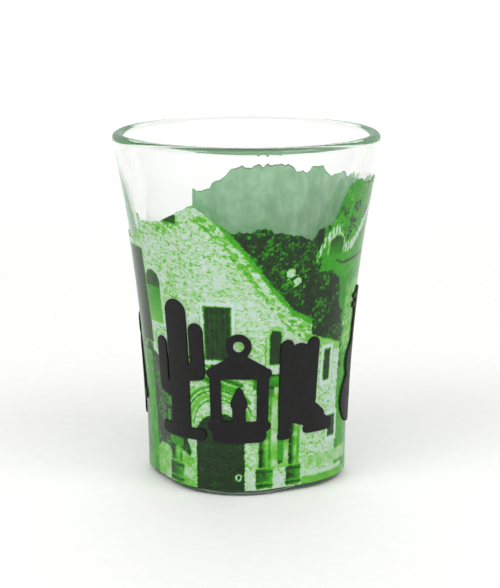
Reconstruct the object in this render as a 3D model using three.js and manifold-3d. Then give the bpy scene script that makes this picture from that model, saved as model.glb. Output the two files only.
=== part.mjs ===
// Souvenir shot glass: a thick pressed cup, two layers of wrap-around print and ten raised rubber reliefs.
// Millimetres, +Z up. The origin is the centre of the foot, on the surface that the glass stands on.
// The foot is a rounded square with its flats facing X and Y, and it opens out to a round mouth.
import * as THREE from 'three';
import Module from 'manifold-3d';

const wasm = await Module();
wasm.setup();

const TURN = 2 * Math.PI;
const DEGREE = Math.PI / 180;

// Driving dimensions of the cup.
const HEIGHT = 62.4;
const MOUTH_RADIUS = 24;
const LIP_THICKNESS = 2.26;
const LIP_RADIUS = LIP_THICKNESS / 2;
const LIP_CENTRE_HEIGHT = HEIGHT - LIP_RADIUS;
const FOOT_CORNER_REACH = 17.95;
const FOOT_FLAT_HALF = 3.13;
const FLARE_POWER = 2.1;
const ROUNDING_POWER = 1.2;
const FOOT_EDGE_RADIUS = 1.1;

// Cavity, and the shallow dish under the foot that leaves a ring to stand on.
const CAVITY_FLOOR_HEIGHT = 9;
const CAVITY_FLOOR_RADIUS = 13.2;
const CAVITY_POWER = 1.3;
const CAVITY_CORNER_RADIUS = 3;
const CAVITY_MOUTH_RADIUS = MOUTH_RADIUS - LIP_THICKNESS;
const DISH_DEPTH = 0.8;
const DISH_TOP_RADIUS = 9.5;
const DISH_RADIUS = 11.5;

// Facets: columns round the cup, levels up a wall, steps round a lip, a corner and a stroke's end.
// An arc and a ring are each made of this many strokes.
const COLUMNS = 72;
const WALL_LEVELS = 12;
const CAVITY_LEVELS = 5;
const LIP_STEPS = 6;
const CORNER_STEPS = 3;
const STROKE_END_STEPS = 3;
const ARC_STROKES = 8;
const RING_STROKES = 12;

// Print layers and reliefs, as the distances of their inner and outer faces from the glass.
const PRINT_BOTTOM_HEIGHT = 1.15;
const BACKING_FACES = [0.04, 0.12];
const PICTURE_FACES = [0.16, 0.24];
const RELIEF_FACES = [0.28, 0.58];
const PRINT_LEVELS = 8;

// The print and the reliefs are turned this many degrees from the foot's flats.
const PRINT_TURN = 4.6;

// Top edge of the print all the way round: [degrees, height], roofs and treetops.
const SKYLINE = [
  [-147, 52.2], [-129, 47.5], [-114, 48.2], [-91, 46], [-78, 48.3], [-74.5, 51.5], [-68.5, 55.6], [-56, 55],
  [-10, 53], [8, 52.4], [14, 54.5], [24.5, 52], [33.5, 52.9], [62, 52.8], [66, 50.3], [85, 48.2],
  [90, 45.5], [115, 43.3], [165, 44], [176, 48.6], [194, 48.7], [213, 52.2],
];

// The reliefs stand in two groups on one base line. Angles are in degrees.
const RELIEF_BASE_HEIGHT = 10;
const RELIEF_SCALE = 1.08;
const FRONT_GROUP = { start: -161.5, step: 35 };
const BACK_GROUP = { start: -43, step: 30.7 };

const GLASS = { color: 0xe8f2ea, roughness: 0.05, metalness: 0, transparent: true, opacity: 0.35 };
const BACKING_INK = { color: 0x8fc299, roughness: 0.35, metalness: 0 };
const PICTURE_INK = { color: 0x55a63c, roughness: 0.25, metalness: 0 };
const BLACK_RUBBER = { color: 0x262726, roughness: 0.55, metalness: 0 };

// ---- The outer surface ----

/** How far up the wall a height is: 0 at the foot, 1 at the lip. */
function wallFraction(height) {
  return Math.min(Math.max(height / LIP_CENTRE_HEIGHT, 0), 1);
}

/** Distance from the axis to the outline's corners. */
function cornerReach(height) {
  return FOOT_CORNER_REACH + (MOUTH_RADIUS - FOOT_CORNER_REACH) * wallFraction(height) ** FLARE_POWER;
}

/** Half the straight length of each of the outline's flats. */
function flatHalf(height) {
  return FOOT_FLAT_HALF * (1 - wallFraction(height)) ** ROUNDING_POWER;
}

/** Distance from the axis to the rounded-square outline, moved inwards by inset. */
function outlineRadius(angle, height, inset = 0) {
  const half = flatHalf(height);
  const corner = cornerReach(height) - Math.SQRT2 * half - inset;
  const fromFlat = Math.abs(angle - (TURN / 4) * Math.round(angle / (TURN / 4)));
  const across = Math.cos(fromFlat);
  const along = Math.sin(fromFlat);
  const onFlat = (half + corner) / across;
  if (onFlat * along <= half) {
    return onFlat;
  }
  return half * (across + along) + Math.sqrt(corner ** 2 - (half * (across - along)) ** 2);
}

function cavityRadius(height) {
  const rise = (height - CAVITY_FLOOR_HEIGHT) / (LIP_CENTRE_HEIGHT - CAVITY_FLOOR_HEIGHT);
  return CAVITY_FLOOR_RADIUS + (CAVITY_MOUTH_RADIUS - CAVITY_FLOOR_RADIUS) * rise ** CAVITY_POWER;
}

function skylineHeight(angle) {
  const start = SKYLINE[0][0];
  const degrees = start + THREE.MathUtils.euclideanModulo(angle / DEGREE - PRINT_TURN - start, 360);
  const next = SKYLINE.findIndex(([at]) => at > degrees);
  const [fromAngle, fromHeight] = SKYLINE[next - 1];
  const [toAngle, toHeight] = SKYLINE[next];
  return fromHeight + ((toHeight - fromHeight) * (degrees - fromAngle)) / (toAngle - fromAngle);
}

// ---- Solids made of rings ----

/**
 * Closed geometry through rings of points, each ring a function from angle to [radius, height].
 * Rings run up the outside and down the inside. A band joins its last ring to its first;
 * otherwise the first and last rings have no radius and close on the axis.
 */
function ringGeometry(rings, isBand) {
  const positions = [];
  const starts = [];
  for (const ring of rings) {
    starts.push(positions.length / 3);
    const onAxis = ring(0)[0] === 0;
    for (let column = 0; column < (onAxis ? 1 : COLUMNS); column += 1) {
      const angle = (TURN * column) / COLUMNS;
      const [radius, height] = ring(angle);
      positions.push(radius * Math.cos(angle), radius * Math.sin(angle), height);
    }
  }
  const size = (index) => (starts[index + 1] ?? positions.length / 3) - starts[index];
  const vertex = (index, column) => starts[index] + (column % COLUMNS) % size(index);
  const faces = [];
  const spans = isBand ? rings.length : rings.length - 1;
  for (let lower = 0; lower < spans; lower += 1) {
    const upper = (lower + 1) % rings.length;
    for (let column = 0; column < COLUMNS; column += 1) {
      if (size(lower) > 1) {
        faces.push(vertex(lower, column), vertex(lower, column + 1), vertex(upper, column));
      }
      if (size(upper) > 1) {
        faces.push(vertex(lower, column + 1), vertex(upper, column + 1), vertex(upper, column));
      }
    }
  }
  const geometry = new THREE.BufferGeometry();
  geometry.setAttribute('position', new THREE.Float32BufferAttribute(positions, 3));
  geometry.setIndex(faces);
  return geometry;
}

const steps = (count) => Array.from({ length: count + 1 }, (_, index) => index / count);

function cupGeometry() {
  const rings = [() => [0, DISH_DEPTH], () => [DISH_TOP_RADIUS, DISH_DEPTH], () => [DISH_RADIUS, 0]];
  for (const step of steps(CORNER_STEPS)) {
    const bend = (step * TURN) / 4;
    const height = FOOT_EDGE_RADIUS * (1 - Math.cos(bend));
    const inset = FOOT_EDGE_RADIUS * (1 - Math.sin(bend));
    rings.push((angle) => [outlineRadius(angle, height, inset), height]);
  }
  for (const step of steps(WALL_LEVELS).slice(1)) {
    const height = FOOT_EDGE_RADIUS + (LIP_CENTRE_HEIGHT - FOOT_EDGE_RADIUS) * step;
    rings.push((angle) => [outlineRadius(angle, height), height]);
  }
  for (const step of steps(LIP_STEPS).slice(1)) {
    const bend = (step * TURN) / 2;
    const radius = MOUTH_RADIUS - LIP_RADIUS * (1 - Math.cos(bend));
    rings.push(() => [radius, LIP_CENTRE_HEIGHT + LIP_RADIUS * Math.sin(bend)]);
  }
  const cornerTop = CAVITY_FLOOR_HEIGHT + CAVITY_CORNER_RADIUS;
  for (const step of steps(CAVITY_LEVELS).slice(1)) {
    const height = LIP_CENTRE_HEIGHT + (cornerTop - LIP_CENTRE_HEIGHT) * step;
    rings.push(() => [cavityRadius(height), height]);
  }
  for (const step of steps(CORNER_STEPS).slice(1)) {
    const bend = (step * TURN) / 4;
    const radius = cavityRadius(cornerTop) - CAVITY_CORNER_RADIUS * (1 - Math.cos(bend));
    rings.push(() => [radius, cornerTop - CAVITY_CORNER_RADIUS * Math.sin(bend)]);
  }
  rings.push(() => [0, CAVITY_FLOOR_HEIGHT]);
  return ringGeometry(rings, false);
}

/** A thin wrap between two distances out from the glass, from its bottom height to its top edge. */
function wrapGeometry([innerFace, outerFace], bottom, topEdge, levels) {
  const ringAt = (face, step) => (angle) => {
    const height = bottom + (topEdge(angle) - bottom) * step;
    return [outlineRadius(angle, height) + face, height];
  };
  const outside = steps(levels).map((step) => ringAt(outerFace, step));
  const inside = steps(levels).map((step) => ringAt(innerFace, 1 - step));
  return ringGeometry([...outside, ...inside], true);
}

// ---- Reliefs ----
// Each motif is a list of tapered strokes on its own flat ground: x across, y up from the base line.

const stroke = (x1, y1, x2, y2, radius1, radius2 = radius1) => ({ x1, y1, x2, y2, radius1, radius2 });

/** Short strokes that follow an arc, from one angle to another in degrees. */
function arc(x, y, radius, from, to, radius1, radius2 = radius1, count = ARC_STROKES) {
  const point = (step) => {
    const angle = (from + (to - from) * step) * DEGREE;
    return [x + radius * Math.cos(angle), y + radius * Math.sin(angle), radius1 + (radius2 - radius1) * step];
  };
  return steps(count).slice(1).map((step) => {
    const [x1, y1, thick1] = point(step - 1 / count);
    const [x2, y2, thick2] = point(step);
    return stroke(x1, y1, x2, y2, thick1, thick2);
  });
}

/** Short strokes round a whole circle. */
const ring = (x, y, radius, thickness) => arc(x, y, radius, 0, 360, thickness, thickness, RING_STROKES);

/** The same strokes on both sides of the motif's middle line. */
const mirrored = (strokes) =>
  strokes.flatMap((part) => [part, { ...part, x1: -part.x1, x2: -part.x2 }]);

const MOTIFS = {
  cactus: () => [
    stroke(0, 2.1, 0, 21.1, 2.1, 2.2),
    stroke(-4, 1, 4, 1, 1),
    stroke(0, 7.6, -3.8, 8.2, 1.3),
    stroke(-3.8, 8.2, -3.8, 15.2, 1.3),
    stroke(0, 10.8, 3.8, 11.4, 1.3),
    stroke(3.8, 11.4, 3.8, 18.4, 1.3),
  ],
  lantern: () => [
    ...ring(0, 16.2, 1.5, 0.6),
    stroke(0, 12.6, 0, 14.4, 1.2, 0.8),
    ...mirrored([
      stroke(0, 14.2, 3.6, 12, 1),
      stroke(0, 11.6, 4.4, 11.6, 0.9),
      stroke(3.9, 11.6, 3.7, 3.4, 0.95),
      stroke(0, 2.7, 4.2, 2.7, 0.9),
      stroke(0, 1.2, 3.2, 1.2, 1.2),
    ]),
    stroke(0, 3.2, 0, 5.4, 1.1),
    stroke(0, 6.6, 0, 9, 1.4, 0.4),
  ],
  boot: () => [
    stroke(-2.7, 15.8, -2.1, 6, 1.2, 1.7),
    stroke(-0.3, 14.2, -0.4, 6, 2, 2.4),
    stroke(2.2, 15.8, 1.2, 6.4, 1.2, 2),
    stroke(-0.7, 5.4, 3.4, 3.1, 2.7, 1.8),
    stroke(2.8, 2.5, 6, 1.8, 1.7, 0.9),
    stroke(1.6, 1.3, 6.3, 1.2, 0.7, 0.6),
    stroke(-2.2, 4.8, -2.6, 1.6, 1.5, 1),
    stroke(-3.1, 0.7, -2, 0.7, 0.7),
  ],
  guitar: () => [
    ...ring(0, 4.7, 2.8, 1.9),
    ...ring(0, 10.8, 1.7, 1.7),
    stroke(0, 12, 0, 20, 1.1, 0.9),
    stroke(0, 20, 0, 21.8, 1.2, 1.5),
    ...mirrored([stroke(0, 20.4, 2.3, 20.4, 0.45), stroke(0, 22, 2.5, 22, 0.45)]),
  ],
  chili: () => [
    ...arc(-6.4, 7.9, 7.6, 44, -56, 2.5, 0.5),
    stroke(-2.4, 14.7, 0.8, 15, 1),
    stroke(-0.8, 15.2, 0.6, 18, 0.8, 0.6),
  ],
  sprig: () => [
    stroke(0, 0.9, 0, 15.8, 0.9, 0.6),
    ...[2, 6.4, 10.6].flatMap((foot, index) => mirrored([
      stroke(1, foot + 0.8, 3.9 - 0.5 * index, foot + 3.8, 1.6 - 0.2 * index, 0.4),
    ])),
  ],
  sunflower: () => [
    ...ring(0, 12.8, 1.3, 1.2),
    ...steps(9).slice(1).map((step) => {
      const across = Math.cos((step + 0.25) * TURN);
      const up = Math.sin((step + 0.25) * TURN);
      return stroke(2.2 * across, 12.8 + 2.2 * up, 4 * across, 12.8 + 4 * up, 1, 0.6);
    }),
    stroke(0, 9.6, 0, 1, 0.9),
    ...mirrored([stroke(0, 2.4, 3.7, 5.6, 1.4, 0.4)]),
  ],
  key: () => [
    ...ring(0, 13.8, 2.5, 1.2),
    stroke(-1.7, 10, 1.7, 10, 0.9),
    stroke(0, 11.4, 0, 1.1, 1.1),
    stroke(0, 1.5, 3.2, 1.5, 1),
    stroke(0, 5, 2.7, 5, 1),
  ],
  weathervane: () => [
    ...steps(5).slice(1).map((step) => {
      const angle = (step + 0.25) * TURN;
      return stroke(0, 12.8, 4.2 * Math.cos(angle), 12.8 + 4.2 * Math.sin(angle), 2.1, 0.4);
    }),
    stroke(0, 10, 0, 1, 0.9),
    stroke(-3.2, 6, 3.2, 6, 0.75),
    ...mirrored([stroke(3.5, 6, 2.4, 7.1, 0.6), stroke(3.5, 6, 2.4, 4.9, 0.6)]),
    stroke(-3.2, 1, 3.2, 1, 1),
  ],
  bell: () => [
    ...ring(0, 15.7, 1.4, 0.6),
    stroke(0, 12.7, 0, 11.4, 1.7, 2.7),
    stroke(0, 11.4, 0, 6.6, 2.7, 3.7),
    stroke(-3.7, 4.6, 3.7, 4.6, 1.1),
    stroke(0, 4, 0, 1.5, 0.7, 1.5),
  ],
};

/** Outline of a tapered stroke: two round ends and the two lines that touch both. */
function strokeShape({ x1, y1, x2, y2, radius1, radius2 }) {
  const shape = new THREE.Shape();
  const direction = Math.atan2(y2 - y1, x2 - x1);
  const spread = Math.acos((radius1 - radius2) / Math.hypot(x2 - x1, y2 - y1));
  shape.absarc(x2, y2, radius2, direction - spread, direction + spread, false);
  shape.absarc(x1, y1, radius1, direction + spread, direction - spread + TURN, false);
  return shape;
}

function toSolid(geometry) {
  const vertProperties = new Float32Array(geometry.getAttribute('position').array);
  const triVerts = new Uint32Array(geometry.index.array);
  const mesh = new wasm.Mesh({ numProp: 3, vertProperties, triVerts });
  mesh.merge();
  return new wasm.Manifold(mesh);
}

function toGeometry(solid) {
  const { vertProperties, triVerts } = solid.getMesh();
  const geometry = new THREE.BufferGeometry();
  geometry.setAttribute('position', new THREE.BufferAttribute(vertProperties, 3));
  geometry.setIndex(new THREE.BufferAttribute(triVerts, 1));
  return geometry;
}

/** The flat motif pushed out through the wall at one angle, and kept only between the relief's two faces. */
function reliefGeometry(motif, angle, wrap) {
  const out = new THREE.Vector3(Math.cos(angle), Math.sin(angle), 0);
  const up = new THREE.Vector3(0, 0, 1);
  const across = new THREE.Vector3().crossVectors(up, out);
  const placement = new THREE.Matrix4().makeBasis(across, up, out);
  placement.scale(new THREE.Vector3(RELIEF_SCALE, RELIEF_SCALE, 1));
  placement.setPosition(out.clone().multiplyScalar(FOOT_CORNER_REACH / 2).setZ(RELIEF_BASE_HEIGHT));
  const extrude = { depth: MOUTH_RADIUS, bevelEnabled: false, curveSegments: STROKE_END_STEPS, steps: 1 };
  const solids = motif().map((part) => {
    const flat = new THREE.ExtrudeGeometry(strokeShape(part), extrude);
    flat.applyMatrix4(placement);
    return toSolid(withIndex(flat));
  });
  return toGeometry(solids.reduce((joined, solid) => joined.add(solid)).intersect(wrap));
}

function withIndex(geometry) {
  if (!geometry.index) {
    geometry.setIndex([...Array(geometry.getAttribute('position').count).keys()]);
  }
  return geometry;
}

// ---- Assembly ----

function piece(name, geometry, finish) {
  const mesh = new THREE.Mesh(geometry, new THREE.MeshStandardMaterial(finish));
  geometry.computeVertexNormals();
  mesh.name = name;
  return mesh;
}

const shotGlass = new THREE.Group();
shotGlass.add(piece('glass_cup', cupGeometry(), GLASS));
for (const [name, faces, ink] of [
  ['print_backing', BACKING_FACES, BACKING_INK],
  ['print_picture', PICTURE_FACES, PICTURE_INK],
]) {
  const wrap = wrapGeometry(faces, PRINT_BOTTOM_HEIGHT, skylineHeight, PRINT_LEVELS);
  shotGlass.add(piece(name, wrap, ink));
}

const reliefWrap = toSolid(
  wrapGeometry(RELIEF_FACES, FOOT_EDGE_RADIUS, () => LIP_CENTRE_HEIGHT, WALL_LEVELS),
);
const placed = (names, { start, step }) =>
  names.map((name, index) => [name, (PRINT_TURN + start + step * index) * DEGREE]);
const reliefs = [
  ...placed(['cactus', 'lantern', 'boot'], FRONT_GROUP),
  ...placed(['guitar', 'chili', 'sprig', 'sunflower', 'key', 'weathervane', 'bell'], BACK_GROUP),
];
for (const [name, angle] of reliefs) {
  shotGlass.add(piece(`relief_${name}`, reliefGeometry(MOTIFS[name], angle, reliefWrap), BLACK_RUBBER));
}

export default shotGlass;
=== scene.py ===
"""A souvenir shot glass: clear pressed glass, a printed green picture and raised black rubber motifs.

Lengths are in millimetres and angles in degrees until a mesh or a camera is made, which is in metres.
"""
import math

import bpy
import mathutils
import numpy as np
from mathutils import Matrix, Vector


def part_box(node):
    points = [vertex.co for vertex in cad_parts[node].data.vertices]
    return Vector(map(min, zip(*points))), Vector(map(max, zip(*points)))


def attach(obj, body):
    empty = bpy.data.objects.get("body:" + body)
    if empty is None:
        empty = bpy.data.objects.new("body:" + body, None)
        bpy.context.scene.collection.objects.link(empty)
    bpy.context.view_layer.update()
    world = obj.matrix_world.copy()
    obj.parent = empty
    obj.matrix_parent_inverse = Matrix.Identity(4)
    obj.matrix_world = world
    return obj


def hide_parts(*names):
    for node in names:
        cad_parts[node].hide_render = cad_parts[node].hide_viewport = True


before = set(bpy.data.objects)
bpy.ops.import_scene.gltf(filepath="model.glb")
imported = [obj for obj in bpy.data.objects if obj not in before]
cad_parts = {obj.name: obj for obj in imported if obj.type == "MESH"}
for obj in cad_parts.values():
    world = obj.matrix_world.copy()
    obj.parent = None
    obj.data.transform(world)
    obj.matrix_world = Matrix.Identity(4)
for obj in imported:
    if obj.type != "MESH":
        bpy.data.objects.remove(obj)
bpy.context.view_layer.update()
MM = 0.001


def cad_box(node):
    """Lowest and highest corner of a CAD node, in millimetres."""
    low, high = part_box(node)
    return np.array(low) / MM, np.array(high) / MM


# ---- Sizes, from the frame and from the cup's own proportions ----

HEIGHT = cad_box("glass_cup")[1][2]
MOUTH_RADIUS = cad_box("glass_cup")[1][0]
PRINT_BOTTOM = cad_box("print_picture")[0][2]
RELIEF_BASE = 10.0
RELIEF_SCALE = 1.08
FRONT_GROUP = (-161.5, 35.0)
BACK_GROUP = (-43.0, 30.7)

LIP_THICKNESS = 2.26
LIP_RADIUS = LIP_THICKNESS / 2
LIP_CENTRE = HEIGHT - LIP_RADIUS
FOOT_CORNER_REACH = 17.95
FOOT_FLAT_HALF = 3.13
FLARE_POWER = 2.1
ROUNDING_POWER = 1.2
FOOT_EDGE_RADIUS = 1.1

CAVITY_FLOOR = 9.0
CAVITY_FLOOR_RADIUS = 13.2
CAVITY_POWER = 1.3
CAVITY_CORNER_RADIUS = 3.0
CAVITY_MOUTH_RADIUS = MOUTH_RADIUS - LIP_THICKNESS
DISH_DEPTH = 0.8
DISH_TOP_RADIUS = 9.5
DISH_RADIUS = 11.5

# The underside from the middle of the dish to the ring that it stands on, as (radius, height).
UNDERSIDE = [
    (3, DISH_DEPTH),
    (6.5, DISH_DEPTH),
    (DISH_TOP_RADIUS - 0.3, DISH_DEPTH),
    (DISH_TOP_RADIUS + 0.2, DISH_DEPTH - 0.08),
    (DISH_RADIUS - 0.25, 0.06),
    (DISH_RADIUS + 0.1, 0),
]
FLOOR_RING_RADII = (7, 3)
CUP_COLUMNS = 256
WALL_RINGS = 60
LIP_RINGS = 25
CAVITY_RINGS = 40
CORNER_RINGS = 9
INNER_ROWS = 12

# Faces of the thin layers, as distances out from the glass. Ink sits in contact with the glass and with
# the layer under it, so each layer starts a hair inside what it is printed on.
BACKING_FACES = (-0.02, 0.12)
PICTURE_FACES = (0.1, 0.24)
RELIEF_FACES = (0.2, 0.58)

# The print and the reliefs are turned this many degrees from the foot's flats, and count from there.
PRINT_TURN = 4.6

# Top edge of the print all the way round: (angle, height), roofs and treetops.
SKYLINE = [
    (90, 45.5), (115, 43.3), (165, 44), (175, 46.5), (176, 49.5), (178, 48.3), (194, 48.7),
    (213, 52.2), (231, 47.5), (246, 48.2), (262, 46.9), (269, 46), (274, 47.6), (282, 48.3),
    (285.5, 51.5), (291.5, 55.6), (304, 55), (350, 53), (368, 52.4), (374, 54.5), (381, 53.9),
    (384.5, 52), (393.5, 52.9), (416, 53.2), (425, 52.9), (430, 50.4), (436, 49.5), (438, 48.4),
    (448.5, 48.4), (449, 45.9), (450, 45.5),
]

# ---- Outline of the glass ----


def wall_fraction(height):
    """How far up the wall a height is, from 0 at the table to 1 at the middle of the lip."""
    return np.clip(height / LIP_CENTRE, 0, 1)


def outline_radius(angle, height, inset=0.0):
    """Distance from the axis to the rounded-square outline, at angles in radians."""
    rise = wall_fraction(np.asarray(height, float))
    half = FOOT_FLAT_HALF * (1 - rise) ** ROUNDING_POWER
    reach = FOOT_CORNER_REACH + (MOUTH_RADIUS - FOOT_CORNER_REACH) * rise**FLARE_POWER
    corner = reach - math.sqrt(2) * half - inset
    quarter = math.pi / 2
    from_flat = np.abs(angle - quarter * np.round(angle / quarter))
    across, along = np.cos(from_flat), np.sin(from_flat)
    on_flat = (half + corner) / across
    past_arc = corner**2 - (half * (across - along)) ** 2
    on_corner = half * (across + along) + np.sqrt(np.maximum(past_arc, 0))
    return np.where(on_flat * along <= half, on_flat, on_corner)


def cavity_radius(height):
    """Radius of the inside, above its rounded bottom corner."""
    rise = (height - CAVITY_FLOOR) / (LIP_CENTRE - CAVITY_FLOOR)
    return CAVITY_FLOOR_RADIUS + (CAVITY_MOUTH_RADIUS - CAVITY_FLOOR_RADIUS) * rise**CAVITY_POWER


# ---- Meshes ----


def grid_quads(rows, columns, close_rows):
    """Quads over a grid of vertices whose columns run round the glass."""
    lower = np.arange(rows if close_rows else rows - 1)[:, None] * columns
    upper = (lower + columns) % (rows * columns)
    here = np.arange(columns)[None, :]
    right = (here + 1) % columns
    quads = np.stack([lower + here, lower + right, upper + right, upper + here], -1)
    return quads.reshape(-1, 4)


def new_piece(name, points, faces, material):
    """A smooth-shaded mesh object from points in millimetres, riding on the glass."""
    mesh = bpy.data.meshes.new(name)
    mesh.from_pydata(np.asarray(points, float) * MM, [], faces)
    mesh.polygons.foreach_set("use_smooth", np.ones(len(mesh.polygons), bool))
    mesh.update()
    piece = bpy.data.objects.new(name, mesh)
    bpy.context.scene.collection.objects.link(piece)
    mesh.materials.append(material)
    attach(piece, "root")
    return piece


def polar_points(radius, height, angles):
    """Points of one ring: radius and height are numbers or one value per angle."""
    radius = np.broadcast_to(radius, angles.shape)
    height = np.broadcast_to(height, angles.shape)
    return np.stack([radius * np.cos(angles), radius * np.sin(angles), height], -1)


def cup_rings(angles):
    """Rings of the cup, from the dish under the foot up the outside, over the lip and down inside."""
    bends = np.linspace(0, math.pi / 2, CORNER_RINGS)
    rings = [polar_points(radius, height, angles) for radius, height in UNDERSIDE]
    for bend in bends:
        height = FOOT_EDGE_RADIUS * (1 - math.cos(bend))
        inset = FOOT_EDGE_RADIUS * (1 - math.sin(bend))
        rings.append(polar_points(outline_radius(angles, height, inset), height, angles))
    for height in np.linspace(FOOT_EDGE_RADIUS, LIP_CENTRE, WALL_RINGS)[1:]:
        rings.append(polar_points(outline_radius(angles, height), height, angles))
    for bend in np.linspace(0, math.pi, LIP_RINGS)[1:]:
        radius = MOUTH_RADIUS - LIP_RADIUS * (1 - math.cos(bend))
        rings.append(polar_points(radius, LIP_CENTRE + LIP_RADIUS * math.sin(bend), angles))
    corner_top = CAVITY_FLOOR + CAVITY_CORNER_RADIUS
    for height in np.linspace(LIP_CENTRE, corner_top, CAVITY_RINGS)[1:]:
        rings.append(polar_points(cavity_radius(height), height, angles))
    for bend in bends[1:]:
        radius = cavity_radius(corner_top) - CAVITY_CORNER_RADIUS * (1 - math.cos(bend))
        rings.append(polar_points(radius, corner_top - CAVITY_CORNER_RADIUS * math.sin(bend), angles))
    rings += [polar_points(radius, CAVITY_FLOOR, angles) for radius in FLOOR_RING_RADII]
    return np.array(rings)


def make_cup(material):
    """The glass: one closed skin, with a fan of triangles at the middle of the dish and the floor."""
    angles = np.linspace(0, 2 * math.pi, CUP_COLUMNS, endpoint=False)
    rings = cup_rings(angles)
    rows = len(rings)
    centres = [[0, 0, DISH_DEPTH], [0, 0, CAVITY_FLOOR]]
    points = np.concatenate([rings.reshape(-1, 3), centres])
    faces = grid_quads(rows, CUP_COLUMNS, False).tolist()
    last = (rows - 1) * CUP_COLUMNS
    under, floor = rows * CUP_COLUMNS, rows * CUP_COLUMNS + 1
    for column in range(CUP_COLUMNS):
        right = (column + 1) % CUP_COLUMNS
        faces.append((under, right, column))
        faces.append((last + column, last + right, floor))
    cup = new_piece("glass_body", points, faces, material)
    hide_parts("glass_cup")


def wrap_points(angles, faces, top_edge, outer_rows):
    """Rings of a thin wrap, up its outer face and down its inner one."""
    inner_face, outer_face = faces
    rises = [(outer_face, step) for step in np.linspace(0, 1, outer_rows)]
    rises += [(inner_face, step) for step in np.linspace(1, 0, INNER_ROWS)]
    rings = []
    for face, step in rises:
        height = PRINT_BOTTOM + (top_edge - PRINT_BOTTOM) * step
        rings.append(polar_points(outline_radius(angles, height) + face, height, angles))
    return np.array(rings)


def make_wrap(name, faces, top_edge, angles, outer_rows, material):
    """A closed thin layer round the glass, up to an uneven top edge."""
    rings = wrap_points(angles, faces, top_edge, outer_rows)
    quads = grid_quads(len(rings), len(angles), True)
    return new_piece(name, rings.reshape(-1, 3), quads.tolist(), material)


# ---- Noise and the print's canvas ----

MM_PER_DEGREE = 0.33
CANVAS_STEP = 0.1
CANVAS_TOP = 57.0
FIRST_ANGLE = 90.0
LATTICE = 256
EVERY_WAY = (0, 180)


def value_noise(across, up, cell, seed):
    """Smooth noise from 0 to 1 over a grid of places in millimetres: a row across and a column up."""
    lattice = np.random.default_rng(seed).random((LATTICE, LATTICE))
    column, row = np.floor(across / cell).astype(int), np.floor(up / cell).astype(int)
    side, rise = across / cell - column, up / cell - row
    side, rise = side * side * (3 - 2 * side), rise * rise * (3 - 2 * rise)
    strips = lattice[:, column % LATTICE] * (1 - side) + lattice[:, (column + 1) % LATTICE] * side
    low, high = strips[row % LATTICE], strips[(row + 1) % LATTICE]
    return low * (1 - rise[:, None]) + high * rise[:, None]


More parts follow.
